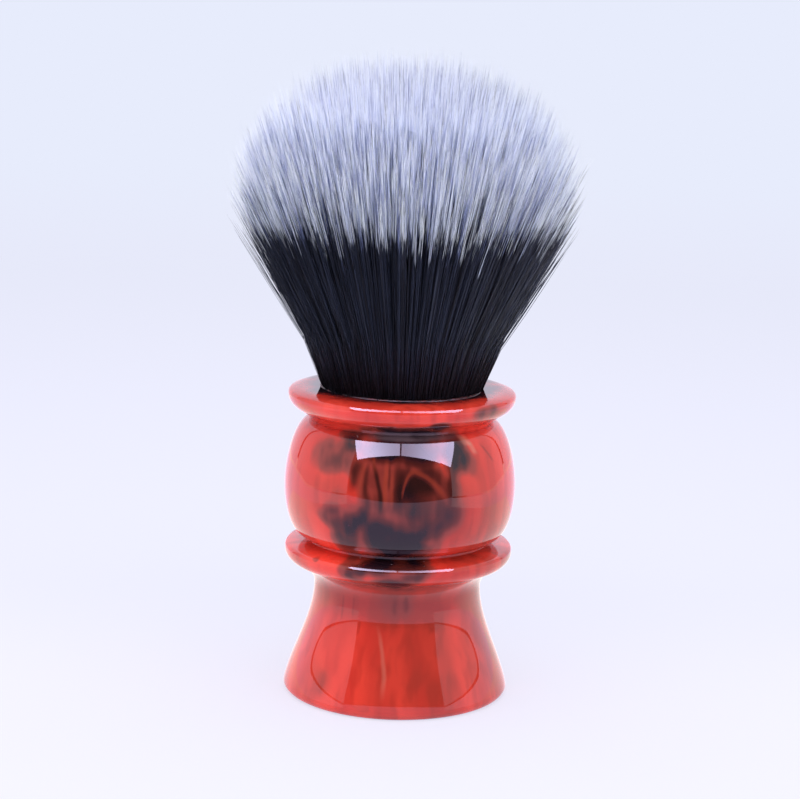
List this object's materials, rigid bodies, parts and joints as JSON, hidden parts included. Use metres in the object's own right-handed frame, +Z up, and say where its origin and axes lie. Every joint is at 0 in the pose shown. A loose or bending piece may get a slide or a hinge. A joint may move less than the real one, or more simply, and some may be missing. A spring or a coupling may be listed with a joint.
{
  "type": "shaving brush",
  "caption": "Shaving brush: turned cast-resin handle with rim, bulb, bead, neck and flared foot, and a fan-shaped knot of black synthetic bristles with white tips.",
  "frame": {"origin": "centre of the foot's underside, on the surface the brush stands on", "axes": "+Z up along the turning axis, from the foot through the handle to the bristle tips; +X to the right and +Y away from a viewer in front of it"},
  "size_m": [0.0564, 0.0564, 0.1069],
  "materials": {
    "cast_resin": "high-gloss polished cast resin, translucent red and orange with smoky black and brown swirls",
    "set_glue": "dark set epoxy, slightly uneven and glossy",
    "plug_resin": "dull cast resin full of bristle roots",
    "binding_cord": "waxed twisted cord, set hard in glue",
    "bristle": "fine soft synthetic filament, black from the root to about half its length, then white to a tapered tip"
  },
  "bodies": {
    "root": {"handle": "cast_resin", "glue_cup": "set_glue", "knot_plug": "plug_resin", "binding_cord": "binding_cord", "tuft_core": "bristle", "tuft_ring1_01": "bristle", "tuft_ring1_02": "bristle", "tuft_ring1_03": "bristle", "tuft_ring1_04": "bristle", "tuft_ring1_05": "bristle", "tuft_ring1_06": "bristle", "tuft_ring2_01": "bristle", "tuft_ring2_02": "bristle", "tuft_ring2_03": "bristle", "tuft_ring2_04": "bristle", "tuft_ring2_05": "bristle", "tuft_ring2_06": "bristle", "tuft_ring2_07": "bristle", "tuft_ring2_08": "bristle", "tuft_ring2_09": "bristle", "tuft_ring2_10": "bristle", "tuft_ring2_11": "bristle", "tuft_ring2_12": "bristle", "tuft_ring3_01": "bristle", "tuft_ring3_02": "bristle", "tuft_ring3_03": "bristle", "tuft_ring3_04": "bristle", "tuft_ring3_05": "bristle", "tuft_ring3_06": "bristle", "tuft_ring3_07": "bristle", "tuft_ring3_08": "bristle", "tuft_ring3_09": "bristle", "tuft_ring3_10": "bristle", "tuft_ring3_11": "bristle", "tuft_ring3_12": "bristle", "tuft_ring3_13": "bristle", "tuft_ring3_14": "bristle", "tuft_ring3_15": "bristle", "tuft_ring3_16": "bristle", "tuft_ring3_17": "bristle", "tuft_ring3_18": "bristle"}
  },
  "joints": []
}
